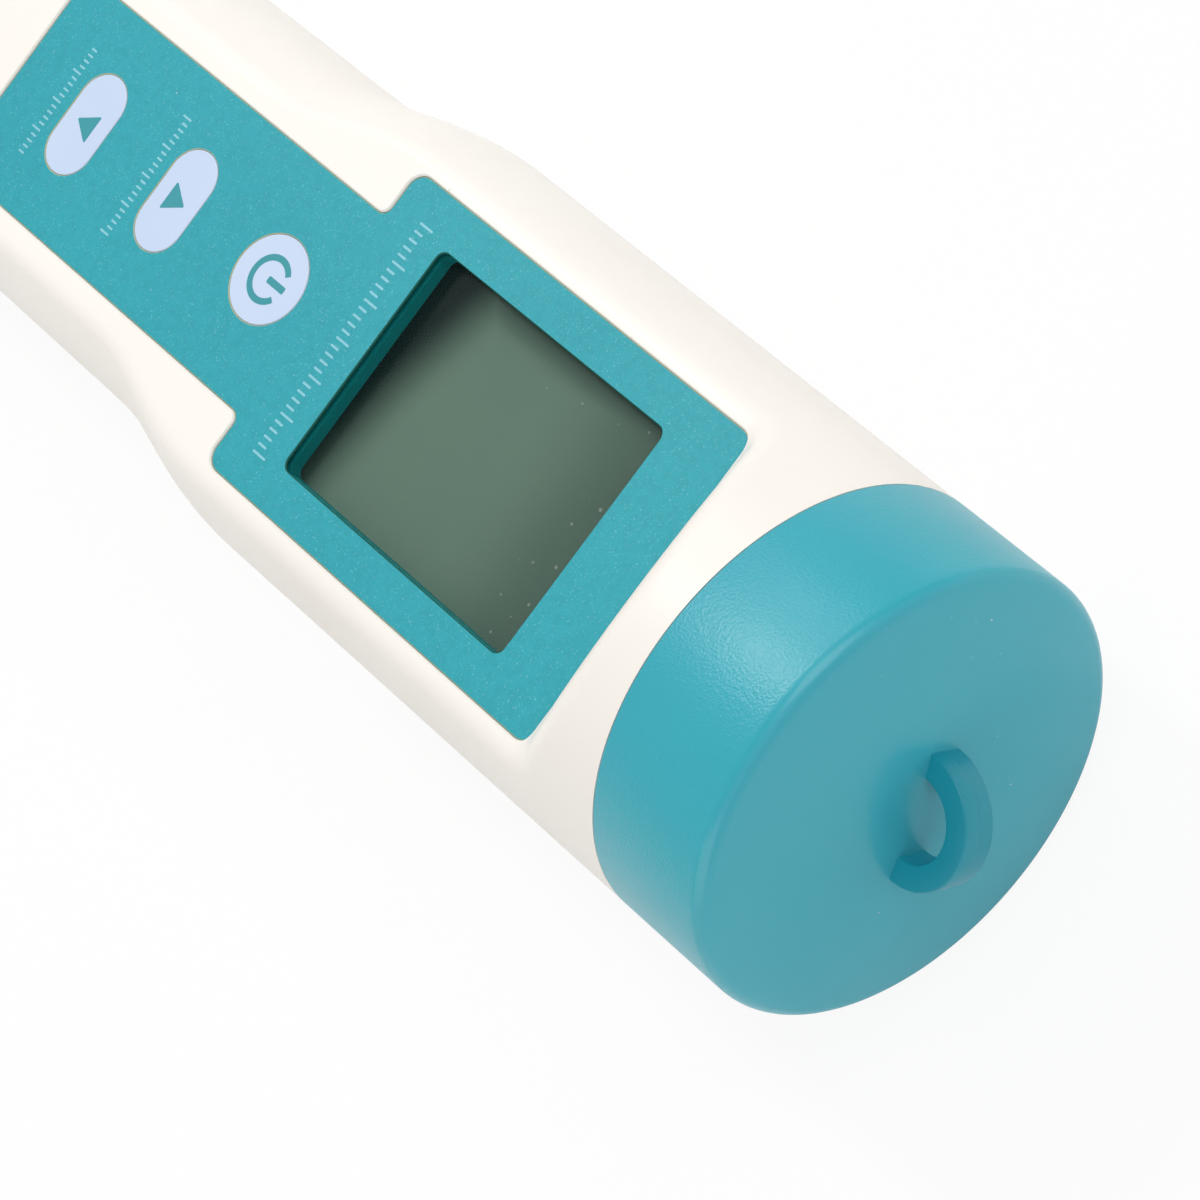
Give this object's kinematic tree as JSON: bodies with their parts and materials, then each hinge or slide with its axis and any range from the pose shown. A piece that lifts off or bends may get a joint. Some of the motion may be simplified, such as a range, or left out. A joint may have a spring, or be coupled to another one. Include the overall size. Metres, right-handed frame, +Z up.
{
  "type": "water quality tester",
  "caption": "Hand-held pen tester for water with a display, press keys, a screw-on battery cap with a lanyard loop, and a capped electrode probe.",
  "frame": {"origin": "under the middle of the pen's box, on the surface it lies on", "axes": "+X along the pen towards the battery cap, +Y across it, +Z up out of the display"},
  "size_m": [0.188, 0.038, 0.038],
  "materials": {
    "white_housing": "fine satin moulding",
    "teal_cap": "fine moulded grain, smooth end",
    "teal_plate": "smooth satin",
    "teal_film": "fine sparkle print under a satin film",
    "lens": "clear",
    "lcd": "grey green, blank",
    "light_guide": "frosted",
    "key_print": "pale lavender with teal symbols",
    "black_plastic": "moulded",
    "grey_plastic": "moulded",
    "board": "solder mask",
    "chip": "moulded",
    "screw": "plain",
    "cell": "nickel plated",
    "contact": "bright",
    "seal": "moulded",
    "zebra": "banded",
    "probe_glass": "clear, thin",
    "platinum": "bright",
    "steel": "plain",
    "junction": "porous",
    "sponge": "open cell"
  },
  "bodies": {
    "pen": {"front_shell": "white_housing", "rear_shell": "white_housing", "panel_plate": "teal_plate", "panel_film": "teal_film", "display_window": "lens", "lcd_glass": "lcd", "lcd_backlight": "light_guide", "lcd_frame": "black_plastic", "zebra_strips": "zebra", "main_board": "board", "switch_bodies": "black_plastic", "board_screws": "screw", "board_chips": "chip", "battery_holder": "grey_plastic", "neck_seal": "seal", "button_cell_1": "cell", "button_cell_2": "cell", "button_cell_3": "cell", "button_cell_4": "cell", "tube_contact": "contact", "probe_holder": "grey_plastic", "probe_seal": "seal", "ph_stem": "probe_glass", "ph_bulb": "probe_glass", "orp_electrode": "platinum", "temperature_sensor": "steel", "ec_pins": "steel", "reference_junction": "junction", "probe_connector": "black_plastic"},
    "power_button": {"power_key": "key_print", "power_plunger": "grey_plastic"},
    "up_button": {"up_key": "key_print", "up_plunger": "grey_plastic"},
    "down_button": {"down_key": "key_print", "down_plunger": "grey_plastic"},
    "cap_carriage": {"cap_contact": "contact"},
    "screw_cap": {"battery_cap": "teal_cap"},
    "probe_cap": {"electrode_cap": "white_housing", "cap_sponge": "sponge"}
  },
  "joints": [
    {"name": "power_press", "type": "slide", "parent": "pen", "child": "power_button", "axis": [0, 0, -1], "range_m": [0, 0.0003], "stiffness_N_per_m": 1000},
    {"name": "up_press", "type": "slide", "parent": "pen", "child": "up_button", "axis": [0, 0, -1], "range_m": [0, 0.0003], "stiffness_N_per_m": 1000},
    {"name": "down_press", "type": "slide", "parent": "pen", "child": "down_button", "axis": [0, 0, -1], "range_m": [0, 0.0003], "stiffness_N_per_m": 1000},
    {"name": "cap_advance", "type": "slide", "parent": "pen", "child": "cap_carriage", "axis": [1, 0, 0], "range_m": [0, 0.0075]},
    {"name": "cap_turn", "type": "hinge", "parent": "cap_carriage", "child": "screw_cap", "pos_m": [0.08, 0, 0.019], "axis": [1, 0, 0], "range_deg": [0, 900]},
    {"name": "probe_cap_pull", "type": "slide", "parent": "pen", "child": "probe_cap", "axis": [-1, 0, 0], "range_m": [0, 0.045]}
  ],
  "couplings": [
    {"joint": "cap_advance", "follows": "cap_turn", "m_per_rad": 0.00047746}
  ]
}
